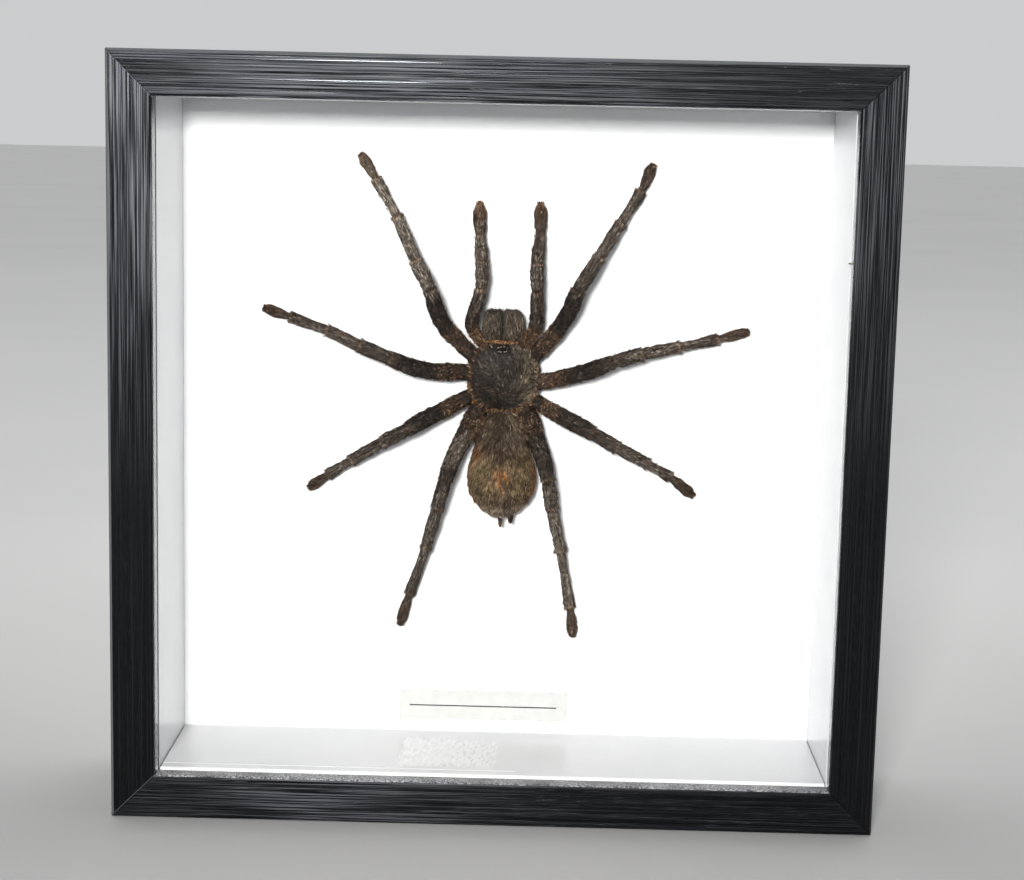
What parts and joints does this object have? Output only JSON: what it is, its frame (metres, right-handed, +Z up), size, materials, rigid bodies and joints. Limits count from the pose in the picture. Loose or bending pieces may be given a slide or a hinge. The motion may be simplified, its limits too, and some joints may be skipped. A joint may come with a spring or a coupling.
{
  "type": "framed tarantula specimen",
  "caption": "Deep square box frame in ribbed black wood with glass, white liner and card, holding a spread dried tarantula above a small blank paper label.",
  "frame": {"origin": "middle of the frame's footprint, on the surface that the bottom rail stands on", "axes": "+Z up the frame, +Y from the glass to the back, +X to the right as seen from the front"},
  "size_m": [0.25, 0.067, 0.249],
  "materials": {
    "black_wood": "ribbed black stain, satin",
    "clear_glass": "clear polished",
    "white_board": "matte white board",
    "label_paper": "matte cut paper",
    "hardboard": "smooth brown hardboard",
    "steel": "plain zinc-plated",
    "dried_specimen": "dry hairy shell, matte"
  },
  "bodies": {
    "root": {"rail_top": "black_wood", "rail_bottom": "black_wood", "rail_left": "black_wood", "rail_right": "black_wood", "glass": "clear_glass", "liner_top": "white_board", "liner_bottom": "white_board", "liner_left": "white_board", "liner_right": "white_board", "mount_board": "white_board", "label": "label_paper", "back_board": "hardboard", "tab_top_1": "steel", "tab_top_2": "steel", "tab_bottom_1": "steel", "tab_bottom_2": "steel", "tab_left_1": "steel", "tab_left_2": "steel", "tab_right_1": "steel", "tab_right_2": "steel", "hanger": "steel", "hanger_rivet_left": "steel", "hanger_rivet_right": "steel", "carapace": "dried_specimen", "abdomen": "dried_specimen", "chelicera_left": "dried_specimen", "chelicera_right": "dried_specimen", "palp_left": "dried_specimen", "palp_right": "dried_specimen", "leg_left_1": "dried_specimen", "leg_left_2": "dried_specimen", "leg_left_3": "dried_specimen", "leg_left_4": "dried_specimen", "leg_right_1": "dried_specimen", "leg_right_2": "dried_specimen", "leg_right_3": "dried_specimen", "leg_right_4": "dried_specimen", "spinneret_left": "dried_specimen", "spinneret_right": "dried_specimen"}
  },
  "joints": []
}
